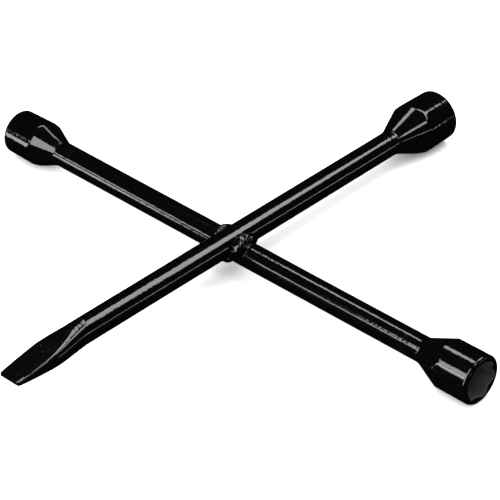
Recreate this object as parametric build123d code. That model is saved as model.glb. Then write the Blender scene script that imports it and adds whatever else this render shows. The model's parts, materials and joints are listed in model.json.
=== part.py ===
from build123d import *
import os
from dataclasses import dataclass
from math import cos, radians, sqrt, tan

# Four-way lug wrench: two round bars laid crosswise and welded, with a hexagon socket welded
# to three of the four ends and the fourth end forged into a flat pry blade.
#
# Row frame, millimetres: the upper bar runs along X (blade at -X, socket at +X), the lower bar
# runs along Y, +Z is up, and the origin is under the middle of the whole tool, at its lowest point.

# ---------------------------------------------------------------- driving dimensions

# Round bars and their crossing
bar_diameter = 15.0
bar_step = 5.7              # height of the upper bar's axis above the lower bar's axis
notch_clearance = 0.1       # gap each side of a bar in the other bar's notch

# Reach of the blade's arm, from the crossing to the tip
blade_reach = 170.7

# Pry blade, forged from the upper bar's own end
blade_length = 52.7         # from the end of the round bar to the tip
flare_length = 26.0         # from the end of the round bar to the widest place
blade_widest = 18.6
blade_tip_width = 14.2
blade_tip_thickness = 2.3
blade_tip_drop = 2.6        # middle of the tip's edge below the bar's axis
blade_edge_radius = 3.0     # rounding of the blade's two long sides at its widest place
blade_tip_edge_radius = 1.0

# What all three socket heads share
cone_angle = 22.0           # slope of the six forged flats to the head's axis
flat_half_width = 20.5      # degrees of the head's circle, each side of a flat's middle
flat_root_step = 0.1        # the flats start this far above the neck's surface
shoulder_radius = 2.5
hex_clearance = 0.2         # added to the nut's size across the flats
hex_depth = 20.0
lead_in = 0.8               # how far the mouth's chamfer reaches past the hexagon's flats
stud_bore_depth = 7.0       # straight length of the round bore behind the hexagon
drill_point_angle = 118.0
face_width = 0.7            # flat ring left at the mouth outside the hexagon's corners

# Butt weld between a bar and a socket's neck
seam_depth = 2.5
seam_width = 2.6
seam_crown = 0.25

# Fillet welds in the four corners of the crossing
fillet_weld_radius = 2.8    # of the round bead before the bars are taken out of it
fillet_weld_offset = 0.9    # of the bead's centre line from each bar's surface
fillet_weld_turn = 100.0    # degrees of the bar's circle that a bead covers


@dataclass
class Socket:
    name: str
    reach: float            # from the crossing to the mouth
    nut_size: float         # across flats
    shoulder_diameter: float
    mouth_diameter: float
    barrel_length: float    # from the mouth to where the flats run out
    neck_length: float      # from the weld to where the flats start
    neck_fillet: float
    nose_radius: float      # rounding outside the mouth
    stud_bore: float
    flat_turn: float        # middle of one forged flat, degrees from straight up
    hex_turn: float         # middle of one hexagon flat, degrees from straight up


inch = 25.4
socket_east = Socket("socket_seven_eighths", 178.7, 7 / 8 * inch, 31.8, 31.0, 21.9, 5.6, 12.0, 2.0,
                     19.0, 27.0, 27.0)
socket_north = Socket("socket_three_quarter", 176.8, 3 / 4 * inch, 27.6, 26.8, 20.4, 10.6, 7.0, 4.2,
                      16.0, -21.0, -21.0)
socket_south = Socket("socket_thirteen_sixteenths", 178.6, 13 / 16 * inch, 28.8, 29.0, 20.4, 10.9, 7.0, 3.4,
                      17.0, 50.5, 45.7)

# ---------------------------------------------------------------- sizes that follow

bar_radius = bar_diameter / 2
lowest_radius = max(socket_north.shoulder_diameter, socket_north.mouth_diameter,
                    socket_south.shoulder_diameter, socket_south.mouth_diameter) / 2
east_radius = max(socket_east.shoulder_diameter, socket_east.mouth_diameter) / 2
lower_axis = max(lowest_radius, east_radius - bar_step)
upper_axis = lower_axis + bar_step
lap_height = (lower_axis + upper_axis) / 2
crossing_x = (blade_reach - socket_east.reach) / 2
crossing_y = (socket_south.reach - socket_north.reach) / 2


def cone_length(socket):
    return (socket.shoulder_diameter / 2 - bar_radius) / tan(radians(cone_angle))


def head_length(socket):
    return socket.neck_length + cone_length(socket) + socket.barrel_length


def hexagon_apothem(socket):
    return (socket.nut_size + hex_clearance) / 2


def hexagon_corner(socket):
    return hexagon_apothem(socket) / cos(radians(30))


# ---------------------------------------------------------------- places

def arm(direction, height, reach):
    """A plane square to an arm, `reach` from the crossing, its Z outwards and its X straight up."""
    centre = Vector(crossing_x, crossing_y, height) + Vector(*direction) * reach
    return Plane(origin=centre, x_dir=(0, 0, 1), z_dir=direction)


east = (1, 0, 0)
west = (-1, 0, 0)
north = (0, 1, 0)
south = (0, -1, 0)
heads = [(socket_east, east, upper_axis), (socket_north, north, lower_axis), (socket_south, south, lower_axis)]


def seam_reach(socket):
    return socket.reach - head_length(socket)


# ---------------------------------------------------------------- butt welds

def butt_weld():
    """Ring of weld metal about Z, filling a V between two bar ends and standing a little proud."""
    half = seam_width / 2
    vee = Polyline((bar_radius, 0, -half), (bar_radius - seam_depth, 0, 0), (bar_radius, 0, half))
    crown = ThreePointArc((bar_radius, 0, half), (bar_radius + seam_crown, 0, 0), (bar_radius, 0, -half))
    return revolve(make_face(vee + crown), Axis.Z)


# ---------------------------------------------------------------- socket heads

def head_blank(socket):
    """Turned shape of a head along Z, neck at 0 and mouth at its full length, with no flats yet."""
    slope = tan(radians(cone_angle))
    ridge = cos(radians(flat_half_width))
    shoulder = socket.shoulder_diameter / 2
    mouth = socket.mouth_diameter / 2
    length = head_length(socket)
    cone_start = socket.neck_length - bar_radius * (1 - ridge) / slope
    cone_end = socket.neck_length + (shoulder * ridge - bar_radius) / slope
    face_radius = min(hexagon_corner(socket) + face_width, mouth - 0.1)
    inset = mouth - face_radius
    nose_radius = max(socket.nose_radius, inset)
    nose = sqrt(nose_radius**2 - (nose_radius - inset)**2)
    side = Polyline((0, 0, 0), (bar_radius, 0, 0), (bar_radius, 0, cone_start), (shoulder, 0, cone_end),
                    (mouth, 0, length - nose))
    rim = TangentArc((mouth, 0, length - nose), (face_radius, 0, length), tangent=(0, 0, 1))
    end = Polyline((face_radius, 0, length), (0, 0, length), (0, 0, 0))
    profile = make_face(side + rim + end)
    neck_corner = profile.vertices().sort_by_distance((bar_radius, 0, cone_start))[0]
    profile = fillet(neck_corner, socket.neck_fillet)
    shoulder_corner = profile.vertices().sort_by_distance((shoulder, 0, cone_end))[0]
    profile = fillet(shoulder_corner, shoulder_radius)
    return revolve(profile, Axis.Z)


def flat_cutter(socket):
    """Takes one forged flat off the +X side of a head: it rises along the cone and runs out on the barrel."""
    slope = tan(radians(cone_angle))
    root = bar_radius + flat_root_step
    top = socket.shoulder_diameter / 2 + flat_root_step + 3
    start = socket.neck_length + flat_root_step / slope
    end = socket.neck_length + (top - bar_radius) / slope
    outline = Polyline((root, 0, -1), (root, 0, start), (top, 0, end), (top + 5, 0, end), (top + 5, 0, -1),
                       close=True)
    section = make_face(outline)
    corner = section.vertices().sort_by_distance((root, 0, start))[0]
    section = fillet(corner, socket.neck_fillet / 2)
    return extrude(section, amount=socket.shoulder_diameter, both=True)


def recess(socket):
    """Hexagon with a chamfered mouth, and behind it the round bore for the stud's end."""
    length = head_length(socket)
    apothem = hexagon_apothem(socket)
    bore_radius = socket.stud_bore / 2
    point = bore_radius / tan(radians(drill_point_angle / 2))
    hexagon = RegularPolygon(apothem, 6, major_radius=False, rotation=socket.hex_turn - 30)
    recess_body = extrude(Pos(0, 0, length - hex_depth) * hexagon, amount=hex_depth)
    step = 0.3
    chamfer_depth = lead_in + step
    middle = length - chamfer_depth / 2
    recess_body += Pos(0, 0, middle) * Cone(apothem - step, apothem + lead_in, chamfer_depth)
    bore_middle = length - hex_depth - stud_bore_depth / 2
    recess_body += Pos(0, 0, bore_middle) * Cylinder(bore_radius, stud_bore_depth)
    point_middle = length - hex_depth - stud_bore_depth - point / 2
    recess_body += Pos(0, 0, point_middle) * Cone(0, bore_radius, point)
    return recess_body


def socket_head(socket):
    head = head_blank(socket)
    cutter = flat_cutter(socket)
    for flat in range(6):
        head -= Rot(0, 0, socket.flat_turn + 60 * flat) * cutter
    head -= recess(socket)
    head -= butt_weld()
    return head


# ---------------------------------------------------------------- bars

def round_bar(plane_start, length):
    return plane_start * Pos(0, 0, length / 2) * Cylinder(bar_radius, length)


def blade_section(along):
    """Cross-section of the blade, `along` millimetres out from the end of the round bar."""
    share = along / blade_length
    tip_top = -blade_tip_drop + blade_tip_thickness / 2
    tip_bottom = -blade_tip_drop - blade_tip_thickness / 2
    top = bar_radius + (tip_top - bar_radius) * share
    bottom = -bar_radius + (tip_bottom + bar_radius) * share
    if along <= flare_length:
        rise = along / flare_length
        ease = rise * rise * (3 - 2 * rise)
        width = bar_diameter + (blade_widest - bar_diameter) * ease
        edge = bar_radius + (blade_edge_radius - bar_radius) * ease
    else:
        fall = (along - flare_length) / (blade_length - flare_length)
        width = blade_widest + (blade_tip_width - blade_widest) * fall
        edge = blade_edge_radius + (blade_tip_edge_radius - blade_edge_radius) * fall
    edge = min(edge, 0.49 * (top - bottom), 0.49 * width)
    place = arm(west, upper_axis, blade_reach - blade_length + along)
    return place * Pos((top + bottom) / 2, 0) * RectangleRounded(top - bottom, width, edge)


def blade():
    flare_steps = 4
    flare = [blade_section(flare_length * step / flare_steps) for step in range(flare_steps + 1)]
    wedge = [blade_section(flare_length), blade_section(blade_length)]
    return loft(flare) + loft(wedge, ruled=True)


def notch(direction, keep_above):
    """What one bar loses at the crossing: the half that the other bar, along `direction`, lies in."""
    width = bar_diameter + 2 * notch_clearance
    size_x = width if direction == north else 2 * bar_diameter
    size_y = width if direction == east else 2 * bar_diameter
    centre = lap_height - bar_diameter if keep_above else lap_height + bar_diameter
    return Pos(crossing_x, crossing_y, centre) * Box(size_x, size_y, 2 * bar_diameter)


def upper_bar():
    seam = seam_reach(socket_east)
    round_end = blade_reach - blade_length
    bar = round_bar(arm(west, upper_axis, -seam), seam + round_end)
    bar += blade()
    bar -= notch(north, keep_above=True)
    bar -= arm(east, upper_axis, seam) * butt_weld()
    return bar


def lower_bar():
    seam_north = seam_reach(socket_north)
    seam_south = seam_reach(socket_south)
    bar = round_bar(arm(north, lower_axis, -seam_south), seam_north + seam_south)
    bar -= notch(east, keep_above=False)
    bar -= arm(north, lower_axis, seam_north) * butt_weld()
    bar -= arm(south, lower_axis, seam_south) * butt_weld()
    return bar


# ---------------------------------------------------------------- fillet welds at the crossing

def fillet_weld(direction, height, side, bars):
    """Bead round the bar that runs along `direction`, against the crossing bar, on its outer side (1 up, -1 down)."""
    out = bar_radius + fillet_weld_offset
    ring = Pos(out, 0, 0) * (Plane.XZ * Circle(fillet_weld_radius))
    bead = Rot(0, 0, -fillet_weld_turn / 2) * revolve(ring, Axis.Z, fillet_weld_turn)
    place = arm(direction, height, out)
    bead = place * Rot(0, 0, 0 if side > 0 else 180) * bead
    return bead - bars


# ---------------------------------------------------------------- write the pieces

def main():
    upper = upper_bar()
    lower = lower_bar()
    bars = Compound([upper, lower])
    pieces = {"upper_bar": upper, "lower_bar": lower}
    for socket, direction, height in heads:
        pieces[socket.name] = arm(direction, height, seam_reach(socket)) * socket_head(socket)
    for label, (socket, direction, height) in zip(("east", "north", "south"), heads):
        pieces[f"butt_weld_{label}"] = arm(direction, height, seam_reach(socket)) * butt_weld()
    pieces["fillet_weld_top_north"] = fillet_weld(north, lower_axis, 1, bars)
    pieces["fillet_weld_top_south"] = fillet_weld(south, lower_axis, 1, bars)
    pieces["fillet_weld_bottom_east"] = fillet_weld(east, upper_axis, -1, bars)
    pieces["fillet_weld_bottom_west"] = fillet_weld(west, upper_axis, -1, bars)

    os.makedirs("parts", exist_ok=True)
    for name, piece in pieces.items():
        export_step(piece, f"parts/{name}.step")
        print(f"{name:28s} {len(piece.solids())} solid(s) {piece.volume:10.1f} mm3")


if __name__ == "__main__":
    main()
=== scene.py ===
# %% [markdown]
# # A four-way lug wrench in gloss black enamel
# The wrench is two round bars laid crosswise and welded. Three ends carry a hexagon socket and the
# fourth is forged into a pry blade. The CAD frame says where every part is and how large. What it lacks
# is what paint and forging do to a shape: soft rims round the forged flats, rippled weld metal, and a
# thick glossy coat that flows a little over every edge. This script builds those surfaces around it.

# %% Load the frame
import json
from dataclasses import dataclass
from math import atan2, cos, floor, pi, radians, sin, sqrt, tan

import bmesh
import bpy
from mathutils import Matrix, Vector, noise


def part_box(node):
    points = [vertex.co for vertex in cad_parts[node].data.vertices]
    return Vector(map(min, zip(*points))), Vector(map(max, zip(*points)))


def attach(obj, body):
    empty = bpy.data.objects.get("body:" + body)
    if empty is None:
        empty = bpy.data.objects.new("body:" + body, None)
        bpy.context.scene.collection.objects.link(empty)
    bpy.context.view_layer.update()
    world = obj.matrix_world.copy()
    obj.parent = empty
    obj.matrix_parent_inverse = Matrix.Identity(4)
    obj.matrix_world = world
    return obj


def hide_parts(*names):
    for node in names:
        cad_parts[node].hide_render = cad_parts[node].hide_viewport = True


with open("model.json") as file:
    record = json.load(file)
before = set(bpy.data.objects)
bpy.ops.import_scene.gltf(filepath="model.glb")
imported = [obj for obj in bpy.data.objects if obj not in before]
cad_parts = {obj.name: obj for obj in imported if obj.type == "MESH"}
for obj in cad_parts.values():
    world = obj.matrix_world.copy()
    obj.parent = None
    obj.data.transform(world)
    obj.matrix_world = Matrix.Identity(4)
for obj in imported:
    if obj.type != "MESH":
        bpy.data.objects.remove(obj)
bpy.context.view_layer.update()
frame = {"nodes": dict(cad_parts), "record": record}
MM = 0.001
print("CAD nodes:", ", ".join(sorted(frame["nodes"])))

# %% [markdown]
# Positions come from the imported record. Its mounts lie on the arms' own axes, so two of them give the
# height of each bar and the point where the bars cross. Each node's box gives where a socket starts and ends.

# %% Axes and reaches from the record
mounts = {mount["name"]: Vector(mount["pos_m"]) for mount in frame["record"]["mounts"]}
upper_axis = mounts["seven_eighths_stud_bore"].z
lower_axis = mounts["three_quarter_stud_bore"].z
crossing = Vector((mounts["three_quarter_stud_bore"].x, mounts["seven_eighths_stud_bore"].y, 0))
lap_height = (upper_axis + lower_axis) / 2
bar_radius = 7.5 * MM
east, west, north, south = Vector((1, 0, 0)), Vector((-1, 0, 0)), Vector((0, 1, 0)), Vector((0, -1, 0))


def arm(direction, height):
    """Turns an arm's own frame, with X straight up and Z outwards along the arm, into the wrench's."""
    up = Vector((0, 0, 1))
    turn = Matrix((up, direction.cross(up), direction)).transposed().to_4x4()
    return Matrix.Translation((crossing.x, crossing.y, height)) @ turn


def reaches(node, direction):
    """How far from the crossing a node starts and ends along an arm."""
    ends = [(corner - crossing).dot(direction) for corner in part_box(node)]
    return min(ends), max(ends)


print(f"bars cross at x {crossing.x / MM:.1f}, y {crossing.y / MM:.1f}, z {lap_height / MM:.2f} mm")

# %% [markdown]
# ## Camera
# A catalogue picture of a small tool is taken from far away through a long lens, so that its arms stay
# straight and nearly parallel. The camera looks down on the crossing from above the corner between two
# arms. A long lens far off is chosen over a short one nearby, which would make the nearest socket look
# too large.

# %% Place the camera
camera_azimuth = radians(46.905)
camera_elevation = radians(35.338)
camera_distance = 1.4627
camera_lens = 188.19
aim_offset = Vector((0.96, -11.55, 0)) * MM
aim = Vector((crossing.x, crossing.y, lap_height)) + aim_offset
sight = Vector((sin(camera_azimuth) * cos(camera_elevation), cos(camera_azimuth) * cos(camera_elevation),
                -sin(camera_elevation)))

camera_data = bpy.data.cameras.new("camera")
camera_data.lens = camera_lens
camera_data.sensor_width = 36
camera_data.clip_end = 100
camera = bpy.data.objects.new("camera", camera_data)
bpy.context.collection.objects.link(camera)
camera.location = aim - sight * camera_distance
camera.rotation_euler = sight.to_track_quat("-Z", "Y").to_euler()
bpy.context.scene.camera = camera
bpy.context.scene.view_settings.view_transform = "Standard"
print("camera at", [round(value, 3) for value in camera.location])

# %% [markdown]
# ## Floor and light
# Black gloss shows almost nothing of its own colour. What reads as its shape is the reflection of the
# lamps, so each lamp is placed by asking where a highlight should lie: a round bar lights up along the line
# where it mirrors a lamp. A lamp is therefore given as the wrench sees it, by how far it is tilted from
# straight overhead towards +X and towards +Y, and by its size in degrees. The floor and the background give
# the pale surroundings but stay out of the reflections, as they do when a tool lies on a light table with
# black cards around it.

# %% Lamps by direction
def tilted(toward_x, toward_y):
    """Unit vector tilted from straight up by so many degrees towards +X and +Y."""
    tilt = radians(sqrt(toward_x ** 2 + toward_y ** 2))
    heading = atan2(toward_y, toward_x)
    return Vector((sin(tilt) * cos(heading), sin(tilt) * sin(heading), cos(tilt)))


def lamp(name, tilt, size, distance, radiance, roll=0.0):
    """A soft box at `tilt` from overhead, `size` degrees across, turned by `roll` degrees in its plane."""
    toward = tilted(*tilt)
    across = (tilted(tilt[0] + 0.01, tilt[1]) - tilted(tilt[0] - 0.01, tilt[1])).normalized()
    along = toward.cross(across)
    data = bpy.data.lights.new(name, "AREA")
    data.shape = "RECTANGLE"
    data.size, data.size_y = (2 * distance * tan(radians(part / 2)) for part in size)
    data.energy = radiance * pi * data.size * data.size_y
    box = bpy.data.objects.new(name, data)
    bpy.context.collection.objects.link(box)
    turn = Matrix((across, along, toward)).transposed() @ Matrix.Rotation(radians(roll), 3, "Z")
    box.matrix_world = Matrix.Translation(aim + toward * distance) @ turn.to_4x4()
    print(f"lamp {name}: {size[0]:.0f} by {size[1]:.0f} degrees, {data.energy:.0f} W")


lamp("top_box", (32.3, -10.8), (29, 26), 1.0, 7.0, roll=-33.7)
lamp("back_strip", (10.5, 18), (11, 30), 1.0, 7.0)
lamp("front_strip", (4, -33), (10, 18), 1.0, 7.0)
lamp("side_box", (-58, 0), (72, 26), 1.2, 7.0)
lamp("corner_box", (-57, 25), (20, 9), 1.2, 7.0)
lamp("corner_strip", (-61.5, 42), (7, 26), 1.2, 7.0, roll=-20)
lamp("far_box", (-66.0, 65.5), (12, 16), 1.2, 7.0, roll=-20)
lamp("low_strip", (52.7, -71), (3, 24), 1.2, 5.0, roll=-53)
lamp("cone_strip", (11, -94), (6, 6), 1.2, 4.0)

# %% Floor and background
north_rest = 20 * MM
east_rest = 22 * MM
contact_points = [Vector((crossing.x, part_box("socket_thirteen_sixteenths")[0].y, 0.0)),
                  Vector((crossing.x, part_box("socket_three_quarter")[1].y - north_rest,
                          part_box("socket_three_quarter")[0].z)),
                  Vector((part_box("socket_seven_eighths")[1].x - east_rest, crossing.y,
                          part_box("socket_seven_eighths")[0].z))]


def stage_floor(points, half_width=4.0):
    """A pale sheet through the three places where the wrench touches what it lies on."""
    mesh = bmesh.new()
    bmesh.ops.create_grid(mesh, x_segments=1, y_segments=1, size=half_width)
    normal = (points[1] - points[0]).cross(points[2] - points[0]).normalized()
    if normal.z < 0:
        normal.negate()
    turn = normal.to_track_quat("Z", "Y").to_matrix().to_4x4()
    bmesh.ops.transform(mesh, matrix=Matrix.Translation(points[0]) @ turn, verts=mesh.verts)
    data = bpy.data.meshes.new("floor")
    mesh.to_mesh(data)
    mesh.free()
    sheet = bpy.data.objects.new("floor", data)
    bpy.context.collection.objects.link(sheet)
    sheet.visible_glossy = False
    paper = bpy.data.materials.new("floor_paper")
    paper.use_nodes = True
    shader = paper.node_tree.nodes["Principled BSDF"]
    shader.inputs["Base Color"].default_value = (0.82, 0.82, 0.82, 1)
    shader.inputs["Roughness"].default_value = 0.9
    shader.inputs["Specular IOR Level"].default_value = 0.1
    data.materials.append(paper)
    return sheet


stage_floor(contact_points)

seen_brightness = 1.5
mirrored_brightness = 0.004
world = bpy.data.worlds.new("studio")
bpy.context.scene.world = world
world.use_nodes = True
sky = world.node_tree
background = sky.nodes["Background"]
ray = sky.nodes.new("ShaderNodeLightPath")
brightness = sky.nodes.new("ShaderNodeMix")
brightness.data_type = "FLOAT"
brightness.inputs["A"].default_value = seen_brightness
brightness.inputs["B"].default_value = mirrored_brightness
sky.links.new(ray.outputs["Is Glossy Ray"], brightness.inputs["Factor"])
sky.links.new(brightness.outputs["Result"], background.inputs["Strength"])
background.inputs["Color"].default_value = (1, 1, 1, 1)
print("floor and background ready")

# %% [markdown]
# ## Paint
# One enamel covers the whole wrench, but it sits differently on a drawn bar, on a forging and on weld
# metal. What they share is a skin: long soft waves from the dip, the fine dimples called orange peel, and
# a few pinholes where dust or gas broke the surface. The skin is a node group with named sockets, so each
# material sets its own depth. The alternative, one big material with switches, would be harder to read.

# %% The shared paint skin
def group_socket(group, name, kind, direction, value=None):
    socket = group.interface.new_socket(name, in_out=direction, socket_type=f"NodeSocket{kind}")
    if value is not None:
        socket.default_value = value


def math_node(tree, operation, first, second=None, clamp=False):
    """One Math node. An input is a number or another node's socket."""
    node = tree.nodes.new("ShaderNodeMath")
    node.operation = operation
    node.use_clamp = clamp
    for slot, value in zip(node.inputs, (first, second)):
        if isinstance(value, (int, float)):
            slot.default_value = value
        elif value is not None:
            tree.links.new(value, slot)
    return node.outputs[0]


def noise_node(tree, place, scale, detail=2.0):
    node = tree.nodes.new("ShaderNodeTexNoise")
    node.inputs["Detail"].default_value = detail
    tree.links.new(place, node.inputs["Vector"])
    if isinstance(scale, (int, float)):
        node.inputs["Scale"].default_value = scale
    else:
        tree.links.new(scale, node.inputs["Scale"])
    return node.outputs["Fac"]


def paint_skin_group():
    group = bpy.data.node_groups.new("paint_skin", "ShaderNodeTree")
    group_socket(group, "Dimple scale", "Float", "INPUT", 450.0)
    group_socket(group, "Dimple depth", "Float", "INPUT", 0.5)
    group_socket(group, "Wave depth", "Float", "INPUT", 0.5)
    group_socket(group, "Pinholes", "Float", "INPUT", 0.1)
    group_socket(group, "Height", "Float", "OUTPUT")
    group_socket(group, "Pinhole mask", "Float", "OUTPUT")
    group_socket(group, "Cloud", "Float", "OUTPUT")
    given = group.nodes.new("NodeGroupInput").outputs
    result = group.nodes.new("NodeGroupOutput").inputs
    place = group.nodes.new("ShaderNodeTexCoord").outputs["Object"]
    dimples = noise_node(group, place, given["Dimple scale"], 1.5)
    waves = noise_node(group, place, 90.0, 1.0)
    cells = group.nodes.new("ShaderNodeTexVoronoi")
    cells.inputs["Scale"].default_value = 420.0
    group.links.new(place, cells.inputs["Vector"])
    reach = math_node(group, "MULTIPLY", given["Pinholes"], 0.35)
    pit = math_node(group, "SUBTRACT", reach, cells.outputs["Distance"])
    pit = math_node(group, "MULTIPLY", pit, 12.0, clamp=True)
    patch = noise_node(group, place, 160.0, 1.0)
    patch = math_node(group, "GREATER_THAN", patch, 0.5)
    pit = math_node(group, "MULTIPLY", pit, patch)
    dimple_height = math_node(group, "MULTIPLY", dimples, given["Dimple depth"])
    wave_height = math_node(group, "MULTIPLY", waves, given["Wave depth"])
    height = math_node(group, "ADD", dimple_height, wave_height)
    height = math_node(group, "SUBTRACT", height, math_node(group, "MULTIPLY", pit, 0.3))
    group.links.new(height, result["Height"])
    group.links.new(pit, result["Pinhole mask"])
    group.links.new(noise_node(group, place, 35.0, 4.0), result["Cloud"])
    return group


paint_skin = paint_skin_group()
print("paint skin sockets:", [item.name for item in paint_skin.interface.items_tree])

# %% [markdown]
# Handling wears paint first where it stands proud: the rims of the sockets, the edges of the blade and the
# tops of the weld ripples. Pointiness, which says how sharply a surface bends outwards, finds those
# places, and a noise breaks the wear into patches. It could be painted by hand, but then each new edge
# would need it again.

# %% The shared edge wear
def edge_rub_group():
    group = bpy.data.node_groups.new("edge_rub", "ShaderNodeTree")
    group_socket(group, "Sharpness", "Float", "INPUT", 0.53)
    group_socket(group, "Amount", "Float", "INPUT", 0.5)
    group_socket(group, "Mask", "Float", "OUTPUT")
    given = group.nodes.new("NodeGroupInput").outputs
    result = group.nodes.new("NodeGroupOutput").inputs
    bend = group.nodes.new("ShaderNodeNewGeometry").outputs["Pointiness"]
    place = group.nodes.new("ShaderNodeTexCoord").outputs["Object"]
    edge = math_node(group, "SUBTRACT", bend, given["Sharpness"])
    edge = math_node(group, "MULTIPLY", edge, 18.0, clamp=True)
    broken = noise_node(group, place, 260.0, 3.0)
    broken = math_node(group, "SUBTRACT", broken, 0.42)
    broken = math_node(group, "MULTIPLY", broken, 6.0, clamp=True)
    mask = math_node(group, "MULTIPLY", edge, broken)
    mask = math_node(group, "MULTIPLY", mask, given["Amount"], clamp=True)
    group.links.new(mask, result["Mask"])
    return group


edge_rub = edge_rub_group()
print("edge wear sockets:", [item.name for item in edge_rub.interface.items_tree])

# %% [markdown]
# The enamel itself is one Principled shader: nearly black, with a clear hard gloss. Its roughness drifts a
# little with the cloud, and it is duller in a pinhole and where it has been rubbed.

# %% Enamel for bars, forgings and welds
def blend_colour(tree, mask, first, second):
    node = tree.nodes.new("ShaderNodeMix")
    node.data_type = "RGBA"
    node.inputs["A"].default_value = (*first, 1)
    node.inputs["B"].default_value = (*second, 1)
    tree.links.new(mask, node.inputs["Factor"])
    return node.outputs["Result"]


def use_group(tree, group, **values):
    node = tree.nodes.new("ShaderNodeGroup")
    node.node_tree = group
    for name, value in values.items():
        node.inputs[name.replace("_", " ")].default_value = value
    return node.outputs


def enamel(name, gloss, dimple_scale, dimple_depth, wave_depth, pinholes, rub):
    paint = bpy.data.materials.new(name)
    paint.use_nodes = True
    tree = paint.node_tree
    shader = tree.nodes["Principled BSDF"]
    skin = use_group(tree, paint_skin, Dimple_scale=dimple_scale, Dimple_depth=dimple_depth,
                     Wave_depth=wave_depth, Pinholes=pinholes)
    worn = use_group(tree, edge_rub, Amount=rub)["Mask"]
    tree.links.new(blend_colour(tree, worn, (0.0008, 0.0008, 0.0009), (0.012, 0.012, 0.0125)),
                   shader.inputs["Base Color"])
    dull = math_node(tree, "MULTIPLY", skin["Cloud"], 0.06)
    dull = math_node(tree, "ADD", dull, gloss - 0.03)
    dull = math_node(tree, "ADD", dull, math_node(tree, "MULTIPLY", skin["Pinhole mask"], 0.25))
    dull = math_node(tree, "ADD", dull, math_node(tree, "MULTIPLY", worn, 0.25))
    tree.links.new(dull, shader.inputs["Roughness"])
    bump = tree.nodes.new("ShaderNodeBump")
    bump.inputs["Distance"].default_value = 0.05 * MM
    tree.links.new(skin["Height"], bump.inputs["Height"])
    tree.links.new(bump.outputs["Normal"], shader.inputs["Normal"])
    print(f"{name}: gloss {gloss}, dimples {1000 / dimple_scale:.1f} mm apart")
    return paint


bar_enamel = enamel("bar_enamel", 0.085, 500.0, 1.3, 1.6, 0.4, 0.3)
socket_enamel = enamel("socket_enamel", 0.085, 420.0, 1.3, 1.6, 0.4, 0.5)
weld_enamel = enamel("weld_enamel", 0.085, 700.0, 0.5, 0.8, 0.5, 0.5)

# %% [markdown]
# Inside the hexagons the paint is only a thin grey film over broached steel. The broach leaves fine lines
# along its travel, so the noise that draws them is stretched along the arm by a Mapping node. There is
# one material for each direction, because the lines must not turn with the paint.

# %% Broached steel in the recesses
def recess_steel(name, along):
    steel = bpy.data.materials.new(name)
    steel.use_nodes = True
    tree = steel.node_tree
    shader = tree.nodes["Principled BSDF"]
    shader.inputs["Metallic"].default_value = 0.6
    place = tree.nodes.new("ShaderNodeTexCoord").outputs["Object"]
    stretch = tree.nodes.new("ShaderNodeMapping")
    stretch.inputs["Scale"].default_value = [0.04 if abs(part) > 0.5 else 1.0 for part in along]
    tree.links.new(place, stretch.inputs["Vector"])
    lines = noise_node(tree, stretch.outputs["Vector"], 1200.0, 3.0)
    cloud = noise_node(tree, place, 120.0, 3.0)
    shade = math_node(tree, "MULTIPLY", math_node(tree, "ADD", lines, cloud), 0.5)
    tree.links.new(blend_colour(tree, shade, (0.02, 0.02, 0.0205), (0.14, 0.14, 0.142)),
                   shader.inputs["Base Color"])
    tree.links.new(math_node(tree, "ADD", math_node(tree, "MULTIPLY", lines, 0.2), 0.38),
                   shader.inputs["Roughness"])
    bump = tree.nodes.new("ShaderNodeBump")
    bump.inputs["Distance"].default_value = 0.04 * MM
    tree.links.new(lines, bump.inputs["Height"])
    tree.links.new(bump.outputs["Normal"], shader.inputs["Normal"])
    print(f"{name}: broach lines along {tuple(along)}")
    return steel


recess_along_x = recess_steel("recess_steel_east", east)
recess_along_y = recess_steel("recess_steel_north", north)

# %% [markdown]
# ## Shared ways of making
# Every part of this wrench starts from a lathe or a forge, so most pieces here are an outline turned about
# an axis and then pressed by moving vertices. Three helpers do this: one rounds the corners of an outline,
# one turns it with the spin operator, and one closes the work into an object on the frame.

# %% Outline and spin helpers
def smooth_min(first, second, soft):
    """The smaller of two values, with the corner between them rounded over `soft`."""
    gap = max(soft - abs(first - second), 0) / soft
    return min(first, second) - gap * gap * soft / 4


def smooth_max(first, second, soft):
    return -smooth_min(-first, -second, soft)


def outline(corners, step):
    """Points (radius, along) through corners (radius, along, rounding), no further apart than `step`."""
    points = [Vector(corners[0][:2])]
    for before, corner, after in zip(corners, corners[1:], corners[2:]):
        here = Vector(corner[:2])
        to_before = (Vector(before[:2]) - here).normalized()
        to_after = (Vector(after[:2]) - here).normalized()
        rounding = corner[2]
        if rounding == 0:
            points.append(here)
            continue
        half = to_before.angle(to_after) / 2
        centre = here + (to_before + to_after).normalized() * rounding / sin(half)
        start = here + to_before * rounding / tan(half) - centre
        end = here + to_after * rounding / tan(half) - centre
        turn = start.angle(end)
        count = max(2, int(turn * rounding / step) + 1)
        for index in range(count + 1):
            share = index / count
            bent = (start * sin((1 - share) * turn) + end * sin(share * turn)) / sin(turn)
            points.append(centre + bent)
    points.append(Vector(corners[-1][:2]))
    fine = [points[0]]
    for first, second in zip(points, points[1:]):
        count = max(1, int((second - first).length / step + 0.999))
        fine += [first.lerp(second, index / count) for index in range(1, count + 1)]
    return fine


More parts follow.
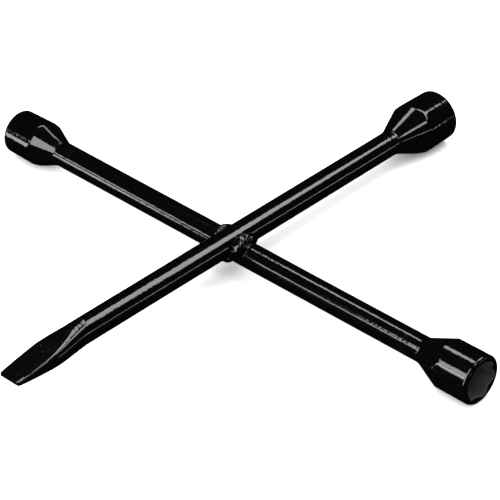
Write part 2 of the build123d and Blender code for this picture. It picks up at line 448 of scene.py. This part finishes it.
def spin_outline(mesh, points, steps, sectors=12):
    """Turns an outline about Z, one sector with spin and then copies of it. Returns the new vertices."""
    old = set(mesh.verts)
    line = [mesh.verts.new((point.x, 0, point.y)) for point in points]
    wires = [mesh.edges.new(pair) for pair in zip(line, line[1:])]
    bmesh.ops.spin(mesh, geom=line + wires, cent=(0, 0, 0), axis=(0, 0, 1), angle=2 * pi / sectors,
                   steps=steps // sectors)
    made = [vertex for vertex in mesh.verts if vertex not in old]
    sector = made + [edge for edge in mesh.edges if edge.verts[0] not in old]
    sector += [face for face in mesh.faces if face.verts[0] not in old]
    for index in range(1, sectors):
        copy = bmesh.ops.duplicate(mesh, geom=sector)["geom"]
        turned = [item for item in copy if isinstance(item, bmesh.types.BMVert)]
        turn = Matrix.Rotation(2 * pi * index / sectors, 3, "Z")
        bmesh.ops.rotate(mesh, cent=(0, 0, 0), matrix=turn, verts=turned)
        made += turned
    return made


def weld_doubles(mesh, distance=1e-6):
    bmesh.ops.remove_doubles(mesh, verts=mesh.verts, dist=distance)
    bmesh.ops.dissolve_degenerate(mesh, edges=mesh.edges, dist=1e-7)
    bmesh.ops.recalc_face_normals(mesh, faces=mesh.faces)


def finish_piece(name, mesh, place, materials, nodes, sharp=32):
    """Puts a finished mesh in its place on the frame, as one piece that stands for its CAD nodes."""
    bmesh.ops.transform(mesh, matrix=place, verts=mesh.verts)
    open_edges = sum(1 for edge in mesh.edges if not edge.is_manifold)
    data = bpy.data.meshes.new(name)
    mesh.to_mesh(data)
    mesh.free()
    data.shade_smooth()
    data.set_sharp_from_angle(angle=radians(sharp))
    for material in materials:
        data.materials.append(material)
    piece = bpy.data.objects.new(name, data)
    bpy.context.collection.objects.link(piece)
    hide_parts(*nodes)
    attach(piece, "root")
    triangles = sum(len(face.vertices) - 2 for face in data.polygons)
    print(f"{name}: {triangles} triangles, {open_edges} open edges")
    return piece


# %% [markdown]
# ## Sockets
# A socket starts as a forged blank, turned on a lathe: a neck that meets the bar, a cone, a barrel that
# tapers slightly, and a rounded nose. Then six flats are pressed along the cone. A Boolean cut would leave
# razor edges where each flat meets the round, and the real rims are soft, since the metal flowed and the
# paint filled them. So the blank is turned with a fine outline, and each vertex outside a flat is pushed
# in to it through a smooth minimum, which rounds the rim as it goes.

# %% Sizes of the three sockets
@dataclass
class Socket:
    """Sizes in millimetres and degrees. Turns are from straight up."""
    node: str
    direction: Vector
    axis: float
    steel: bpy.types.Material
    across_flats: float
    shoulder_diameter: float
    mouth_diameter: float
    neck_length: float
    neck_fillet: float
    flat_turn: float
    hexagon_turn: float


sockets = [
    Socket("seven_eighths", east, upper_axis, recess_along_x, across_flats=22.425, shoulder_diameter=31.8,
           mouth_diameter=31.0, neck_length=5.6, neck_fillet=12.0, flat_turn=27.0,
           hexagon_turn=27.0),
    Socket("three_quarter", north, lower_axis, recess_along_y, across_flats=19.25, shoulder_diameter=27.6,
           mouth_diameter=26.8, neck_length=10.6, neck_fillet=7.0, flat_turn=-21.0,
           hexagon_turn=-21.0),
    Socket("thirteen_sixteenths", south, lower_axis, recess_along_y, across_flats=20.8375,
           shoulder_diameter=28.8, mouth_diameter=29.0, neck_length=10.9, neck_fillet=7.0,
           flat_turn=50.5, hexagon_turn=45.7),
]
cone_slope = tan(radians(22))
shoulder_rounding = 1.2 * MM
hexagon_depth = 20 * MM
lead_in = 0.8 * MM
face_width = 0.7 * MM
narrowest_ring = 0.1 * MM
nose_share = 0.98
drill_slope = tan(radians(59))
weld_groove = 2.5 * MM
weld_half_width = 1.3 * MM
print("sockets:", ", ".join(socket.node for socket in sockets))

# %% [markdown]
# A flat is a plane that rises with the cone, and it stops where it meets the round bar. Its rim is soft at
# the sides and sharper at both ends, because a wide blend there would draw the flat out into a wedge. The
# hexagon is opened the same way: a round pilot hole, a little too small, is pulled out to six walls.

# %% Flats and hexagon
flat_half_width = radians(20.5)
flat_root = 0.1 * MM
rim_softness = 0.5 * MM
root_softness = 0.06 * MM
softness_growth = 0.25
end_softness = 0.35
forge_relief = 0.03 * MM
forge_wave = 5 * MM
edge_softness = 0.12 * MM
pilot_margin = 0.3 * MM
untouched_core = 0.9 * bar_radius
tiny = 1e-6


def from_nearest(angle, middle):
    """Signed angle from the nearest of six directions that start at `middle`."""
    sixth = pi / 3
    return (angle - middle + sixth / 2) % sixth - sixth / 2


def relief(point, size, depth):
    """A gentle unevenness, of wavelength `size` and height up to `depth`."""
    return noise.noise(point / size) * depth


def press_flats(vertices, socket, length):
    """Pushes what stands outside the six forged flats in to them. The relief fades out at the mouth."""
    start = socket.neck_length * MM
    middle = radians(socket.flat_turn)
    for vertex in vertices:
        radius = sqrt(vertex.co.x ** 2 + vertex.co.y ** 2)
        if radius < untouched_core:
            continue
        around = from_nearest(vertex.co.xy.angle_signed(Vector((1, 0))), middle)
        rise = (vertex.co.z - start) * cone_slope
        plane = (bar_radius + flat_root + rise) / cos(around)
        flat = smooth_max(bar_radius + flat_root / 2, plane, root_softness)
        sideways = min(abs(around) / flat_half_width, 1)
        soft = rim_softness * (end_softness + (1 - end_softness) * sideways)
        soft = min(root_softness + softness_growth * max(rise, 0), soft)
        pressed = smooth_min(radius, flat, soft)
        pressed += relief(vertex.co, forge_wave, forge_relief) * min((length - vertex.co.z) / MM, 1)
        vertex.co.x *= pressed / radius
        vertex.co.y *= pressed / radius


def open_hexagon(vertices, socket, length):
    """Pulls a round recess out to the hexagon, but never inside the cone that leads into it."""
    apothem = socket.across_flats / 2 * MM
    middle = radians(socket.hexagon_turn)
    floor_height = length - hexagon_depth
    for vertex in vertices:
        radius = sqrt(vertex.co.x ** 2 + vertex.co.y ** 2)
        below_floor = vertex.co.z < floor_height - tiny
        on_wall = apothem - pilot_margin - 0.1 * MM < radius < apothem + lead_in + tiny
        if below_floor or not on_wall:
            continue
        around = from_nearest(vertex.co.xy.angle_signed(Vector((1, 0))), middle)
        cone = apothem + lead_in - (length - vertex.co.z)
        wide = smooth_max(apothem / cos(around), cone, edge_softness)
        vertex.co.x *= wide / radius
        vertex.co.y *= wide / radius


# %% [markdown]
# The recess is its own outline in the same mesh: a short cone leads in, then the hexagon's walls, its
# floor, the round bore for the stud's end and the drill's point. Both outlines share the ring at the
# mouth, so merging the doubles there closes the socket. The steel shows only on the hexagon's walls and
# deeper in. The slanted cone in front of them was painted with the outside.

# %% Build the sockets
painted_reach = 4 * MM
painted_slant = 0.6
turned_steps = 264
turned_spacing = 0.42 * MM
bored_spacing = 0.5 * MM
stud_bores = {mount["name"]: mount["dims"] for mount in frame["record"]["mounts"]}


def build_socket(socket):
    seam, mouth = reaches(f"socket_{socket.node}", socket.direction)
    length = mouth - seam
    shoulder = socket.shoulder_diameter / 2 * MM
    mouth_radius = socket.mouth_diameter / 2 * MM
    ridge = cos(flat_half_width)
    cone_start = socket.neck_length * MM - bar_radius * (1 - ridge) / cone_slope
    cone_end = socket.neck_length * MM + (shoulder * ridge - bar_radius) / cone_slope
    apothem = socket.across_flats / 2 * MM
    face = min(apothem / cos(radians(30)) + face_width, mouth_radius - narrowest_ring)
    nose_radius = nose_share * (mouth_radius - face)
    blank = outline([(0, 0, 0), (bar_radius - weld_groove, 0, 0), (bar_radius, weld_half_width, 0),
                     (bar_radius, cone_start, socket.neck_fillet * MM),
                     (shoulder, cone_end, shoulder_rounding), (mouth_radius, length, nose_radius),
                     (face, length, 0)], turned_spacing)
    bore = stud_bores[f"{socket.node}_stud_bore"]
    bore_radius = bore["r_mm"] * MM
    hexagon_floor = length - hexagon_depth
    bore_end = hexagon_floor - bore["length_mm"] * MM
    wall = apothem - pilot_margin
    hollow = outline([(face, length, 0), (apothem + lead_in, length, 0),
                      (wall, length - lead_in - pilot_margin, 0), (wall, hexagon_floor, 0),
                      (bore_radius, hexagon_floor, 0), (bore_radius, bore_end, 0),
                      (0, bore_end - bore_radius / drill_slope, 0)], bored_spacing)
    mesh = bmesh.new()
    press_flats(spin_outline(mesh, blank, turned_steps), socket, length)
    outside = set(mesh.faces)
    open_hexagon(spin_outline(mesh, hollow, turned_steps), socket, length)
    for wall_face in mesh.faces:
        wall_face.normal_update()
        near_mouth = wall_face.calc_center_median().z > length - painted_reach
        painted = wall_face in outside or (near_mouth and abs(wall_face.normal.z) > painted_slant)
        wall_face.material_index = int(not painted)
    weld_doubles(mesh)
    place = arm(socket.direction, socket.axis) @ Matrix.Translation((0, 0, seam))
    return finish_piece(f"{socket.node}_socket", mesh, place, [socket_enamel, socket.steel],
                        [f"socket_{socket.node}"])


for socket in sockets:
    build_socket(socket)

# %% [markdown]
# ## Bars
# The bars are drawn steel: round and true, with only the faint waviness that a straightening press leaves.
# The upper bar's end is forged: hammered to a wedge between two flat faces while its flanks spread. It is
# modelled as it is made. A plain bar is extruded once and divided into rings, its width is spread along the
# blade, and whatever stands above the upper face or below the lower one is pressed to it.

# %% Blade shape
blade_length = 52.7 * MM
flare_length = 26 * MM
widest_half = 9.3 * MM
tip_half = 7.1 * MM
tip_top = -1.45 * MM
tip_bottom = -3.75 * MM
tip_corner = 2.0 * MM
corner_reach = 12 * MM
root_edge = 1.6 * MM
tip_edge = 0.5 * MM
hammer_wave = 6 * MM
hammer_relief = 0.05 * MM


def ease(share):
    share = min(max(share, 0), 1)
    return share * share * (3 - 2 * share)


def forge_blade(vertices, root):
    """Turns the round bar beyond `root` into the pry blade. Local X is up and Z is along the arm."""
    for vertex in vertices:
        along = vertex.co.z - root
        if along <= 0:
            continue
        share = along / blade_length
        if along < flare_length:
            half = bar_radius + (widest_half - bar_radius) * ease(along / flare_length)
        else:
            narrowing = (along - flare_length) / (blade_length - flare_length)
            half = widest_half + (tip_half - widest_half) * narrowing
        top = bar_radius + (tip_top - bar_radius) * share
        bottom = -bar_radius + (tip_bottom + bar_radius) * share
        soft = root_edge + (tip_edge - root_edge) * share
        height = vertex.co.x + (top + bottom) / 2
        height = smooth_max(smooth_min(height, top, soft), bottom, soft)
        across = vertex.co.y * half / bar_radius
        past_corner = along - (blade_length - corner_reach)
        if past_corner > 0:
            inset = max(tip_corner - (half + across), 0)
            back = tip_corner - sqrt(max(tip_corner ** 2 - inset ** 2, 0))
            vertex.co.z -= back * ease(past_corner / corner_reach)
        vertex.co.x = height + relief(vertex.co, hammer_wave, hammer_relief) * ease(along / flare_length)
        vertex.co.y = across


# %% Bar builder
press_wave = 14 * MM
press_relief = 0.012 * MM
ring_spacing = 1.0 * MM
bar_segments = 120


def drawn_bar(mesh, start, end, step):
    """A round bar from `start` to `end` along Z: a circle extruded once and divided along its length."""
    ring = bmesh.ops.create_circle(mesh, cap_ends=False, radius=bar_radius, segments=bar_segments)["verts"]
    bmesh.ops.translate(mesh, vec=(0, 0, start), verts=ring)
    made = bmesh.ops.extrude_edge_only(mesh, edges=mesh.edges)["geom"]
    bmesh.ops.translate(mesh, vec=(0, 0, end - start),
                        verts=[item for item in made if isinstance(item, bmesh.types.BMVert)])
    lengthwise = [edge for edge in mesh.edges if abs(edge.verts[0].co.z - edge.verts[1].co.z) > step]
    cuts = round((end - start) / step) - 1
    bmesh.ops.subdivide_edges(mesh, edges=lengthwise, cuts=cuts, use_grid_fill=True)
    for vertex in mesh.verts:
        swell = 1 + relief(vertex.co, press_wave, press_relief) / bar_radius
        vertex.co.x *= swell
        vertex.co.y *= swell


def groove_end(mesh, edges, outward):
    """Adds the slanted half of a weld groove and a cap to one end of a bar."""
    made = bmesh.ops.extrude_edge_only(mesh, edges=edges)["geom"]
    ring = [item for item in made if isinstance(item, bmesh.types.BMVert)]
    small = (bar_radius - weld_groove) / bar_radius
    bmesh.ops.scale(mesh, vec=(small, small, 1), verts=ring)
    bmesh.ops.translate(mesh, vec=(0, 0, outward * weld_half_width), verts=ring)
    rim = [item for item in made if isinstance(item, bmesh.types.BMEdge)]
    bmesh.ops.contextual_create(mesh, geom=rim)


def end_ring(mesh, along):
    return [edge for edge in mesh.edges if edge.is_boundary and
            all(abs(vertex.co.z - along) < 0.5 * MM for vertex in edge.verts)]


print(f"blade: {blade_length / MM:.1f} mm long, {2 * widest_half / MM:.1f} mm at its widest")

# %% [markdown]
# Where the bars cross, each has lost a flat-bottomed notch, so that they lie half into each other. A
# Boolean modifier cuts it, with a block that is deleted as soon as the cut is applied.

# %% Notch cutter
notch_play = 0.1 * MM


def cut_notch(piece, low, high):
    """Takes the block between two corners out of a piece."""
    mesh = bmesh.new()
    bmesh.ops.create_cube(mesh, size=1)
    bmesh.ops.scale(mesh, vec=high - low, verts=mesh.verts)
    bmesh.ops.translate(mesh, vec=(low + high) / 2, verts=mesh.verts)
    data = bpy.data.meshes.new("notch_block")
    mesh.to_mesh(data)
    mesh.free()
    block = bpy.data.objects.new("notch_block", data)
    bpy.context.collection.objects.link(block)
    cut = piece.modifiers.new("notch", "BOOLEAN")
    cut.object = block
    cut.operation = "DIFFERENCE"
    cut.solver = "EXACT"
    bpy.context.view_layer.update()
    shaped = bpy.data.meshes.new_from_object(piece.evaluated_get(bpy.context.evaluated_depsgraph_get()))
    piece.modifiers.clear()
    piece.data = shaped
    shaped.name = piece.name
    bpy.data.objects.remove(block)
    shaped.shade_smooth()
    shaped.set_sharp_from_angle(angle=radians(32))
    print(f"{piece.name}: notched, {len(shaped.polygons)} faces")


notch_half = bar_radius + notch_play
far = 2 * bar_radius
print(f"notches: {2 * notch_half / MM:.1f} mm wide, meeting at z {lap_height / MM:.2f} mm")

# %% Upper bar with its blade
tip_narrowing = (0.72, 0.95, 1)
tip_bulge = 0.3 * MM


def build_upper_bar():
    seam = reaches("socket_seven_eighths", east)[0]
    reach = reaches("upper_bar", west)[1]
    root = reach - blade_length
    mesh = bmesh.new()
    drawn_bar(mesh, -seam + weld_half_width, reach, ring_spacing)
    groove_end(mesh, end_ring(mesh, -seam + weld_half_width), -1)
    forge_blade(mesh.verts, root)
    tip = [edge for edge in mesh.edges if edge.is_boundary]
    made = bmesh.ops.extrude_edge_only(mesh, edges=tip)["geom"]
    ring = [item for item in made if isinstance(item, bmesh.types.BMVert)]
    centre_height = (tip_top + tip_bottom) / 2
    bmesh.ops.translate(mesh, vec=(-centre_height, 0, 0), verts=ring)
    bmesh.ops.scale(mesh, vec=tip_narrowing, verts=ring)
    bmesh.ops.translate(mesh, vec=(centre_height, 0, tip_bulge), verts=ring)
    bmesh.ops.contextual_create(mesh, geom=[item for item in made if isinstance(item, bmesh.types.BMEdge)])
    weld_doubles(mesh)
    piece = finish_piece("upper_bar_and_blade", mesh, arm(west, upper_axis), [bar_enamel],
                         ["upper_bar"])
    low = Vector((crossing.x - notch_half, crossing.y - far, lap_height - far))
    high = Vector((crossing.x + notch_half, crossing.y + far, lap_height))
    cut_notch(piece, low, high)
    return piece


# %% Lower bar
def build_lower_bar():
    seam_north = reaches("socket_three_quarter", north)[0]
    seam_south = reaches("socket_thirteen_sixteenths", south)[0]
    start, end = -seam_south + weld_half_width, seam_north - weld_half_width
    mesh = bmesh.new()
    drawn_bar(mesh, start, end, ring_spacing)
    groove_end(mesh, end_ring(mesh, start), -1)
    groove_end(mesh, end_ring(mesh, end), 1)
    weld_doubles(mesh)
    piece = finish_piece("lower_round_bar", mesh, arm(north, lower_axis), [bar_enamel],
                         ["lower_bar"])
    low = Vector((crossing.x - far, crossing.y - notch_half, lap_height))
    high = Vector((crossing.x + far, crossing.y + notch_half, lap_height + far))
    cut_notch(piece, low, high)
    return piece


build_upper_bar()
build_lower_bar()

# %% [markdown]
# ## Welds
# Each socket is butt-welded to its bar, and the seam was dressed, so only a low ring shows under the paint.
# Its section is a shallow crown on the V of the groove, turned about the arm, with a slight ripple.

# %% Butt-weld rings
seam_crown = 0.06 * MM
seam_steps = 180
crown_edge = 0.01 * MM
crown_points = 8
seam_wave = 2.2 * MM
seam_relief = 0.02 * MM


def build_butt_weld(label, socket):
    seam = reaches(f"socket_{socket.node}", socket.direction)[0]
    mesh = bmesh.new()
    section = [Vector((bar_radius - weld_groove, 0))]
    for index in range(crown_points + 1):
        share = 2 * index / crown_points - 1
        section.append(Vector((bar_radius + seam_crown * (1 - share * share), share * weld_half_width)))
    section.append(section[0].copy())
    ring = spin_outline(mesh, section, seam_steps)
    for vertex in ring:
        radius = sqrt(vertex.co.x ** 2 + vertex.co.y ** 2)
        if radius > bar_radius + crown_edge:
            swell = 1 + relief(vertex.co, seam_wave, seam_relief) / radius
            vertex.co.x *= swell
            vertex.co.y *= swell
    weld_doubles(mesh)
    place = arm(socket.direction, socket.axis) @ Matrix.Translation((0, 0, seam))
    return finish_piece(f"butt_weld_ring_{label}", mesh, place, [weld_enamel],
                        [f"butt_weld_{label}"])


for label, socket in zip(("east", "north", "south"), sockets):
    build_butt_weld(label, socket)

# %% [markdown]
# At the crossing a bead of weld fills the corner between the bars on each side. The welder works round the
# bar in small steps, and each step freezes as a crescent on the one before, like fish scales. A bead is
# a circle spun part of the way round the bar. Then its size is changed along the way: it thins at
# both ends, swells in slow lumps and steps at each crescent. Sculpting by hand could do the same, but
# a formula lets four beads differ by a few numbers.

# %% Fillet weld beads
bead_offset = 0.9 * MM
bead_steps = 150
bead_segments = 28
end_bluntness = 6
crescent_bow = 0.55
crescent_step = 2.2
slow_lump = 4.0 * MM
slow_depth = 0.26
quick_lump = 1.3 * MM
quick_depth = 0.035
mean_ripple = 0.6
thinnest = 0.02


def build_bead(name, direction, height, upward, start, end, size, ripples, ripple_depth, seed,
               end_swell=0.0):
    """A bead round the bar along `direction`, between two angles from its middle, in degrees."""
    mesh = bmesh.new()
    ring_radius = bar_radius + bead_offset
    circle = bmesh.ops.create_circle(mesh, cap_ends=False, radius=1.0, segments=bead_segments)["verts"]
    bmesh.ops.rotate(mesh, cent=(0, 0, 0), matrix=Matrix.Rotation(pi / 2, 3, "X"), verts=circle)
    bmesh.ops.scale(mesh, vec=(size * MM, 1, size * MM), verts=circle)
    bmesh.ops.translate(mesh, vec=(ring_radius, 0, 0), verts=circle)
    bmesh.ops.rotate(mesh, cent=(0, 0, 0), matrix=Matrix.Rotation(radians(start), 3, "Z"), verts=circle)
    bmesh.ops.spin(mesh, geom=circle + list(mesh.edges), cent=(0, 0, 0), axis=(0, 0, 1),
                   angle=radians(end - start), steps=bead_steps)
    lumps = Vector((seed * 7.3, seed * 3.1, seed * 5.7))
    for vertex in mesh.verts:
        around = Vector((1, 0)).angle_signed(Vector((vertex.co.x, vertex.co.y))) * -1
        share = (around - radians(start)) / radians(end - start)
        middle = Vector((cos(around) * ring_radius, sin(around) * ring_radius, 0))
        spoke = vertex.co - middle
        side = spoke.z / (size * MM)
        outward = spoke.length and spoke.normalized().dot(middle.normalized())
        taper = sqrt(max(1 - (2 * share - 1) ** end_bluntness, 0))
        phase = share * ripples - crescent_bow * side * side
        ripple = 1 - (phase - floor(phase)) ** crescent_step
        swell = 1 + slow_depth * noise.noise(vertex.co / slow_lump + lumps)
        swell += quick_depth * noise.noise(vertex.co / quick_lump + lumps)
        swell += ripple_depth * (ripple - mean_ripple) * max(outward, 0)
        swell += end_swell * ease(2 * share - 0.7)
        vertex.co = middle + spoke * max(taper * swell, thinnest)
    for rim in (radians(start), radians(end)):
        ends = [edge for edge in mesh.edges if edge.is_boundary and
                abs((Vector((1, 0)).angle_signed(edge.verts[0].co.xy) * -1) - rim) < 0.05]
        bmesh.ops.contextual_create(mesh, geom=ends)
    weld_doubles(mesh)
    half_turn = Matrix.Rotation(0 if upward else pi, 4, "Z")
    place = arm(direction, height) @ Matrix.Translation((0, 0, bar_radius + bead_offset)) @ half_turn
    return finish_piece(name, mesh, place, [weld_enamel], [name.replace("bead", "weld")],
                        sharp=50)


build_bead("fillet_bead_top_south", south, lower_axis, True, -72, 84, 3.2, 6.0, 0.34, 1, end_swell=0.38)
build_bead("fillet_bead_top_north", north, lower_axis, True, -56, 52, 2.3, 6.0, 0.08, 2)
build_bead("fillet_bead_bottom_east", east, upper_axis, False, -50, 50, 2.7, 6.0, 0.2, 3)
build_bead("fillet_bead_bottom_west", west, upper_axis, False, -46, 46, 2.4, 6.0, 0.2, 4)
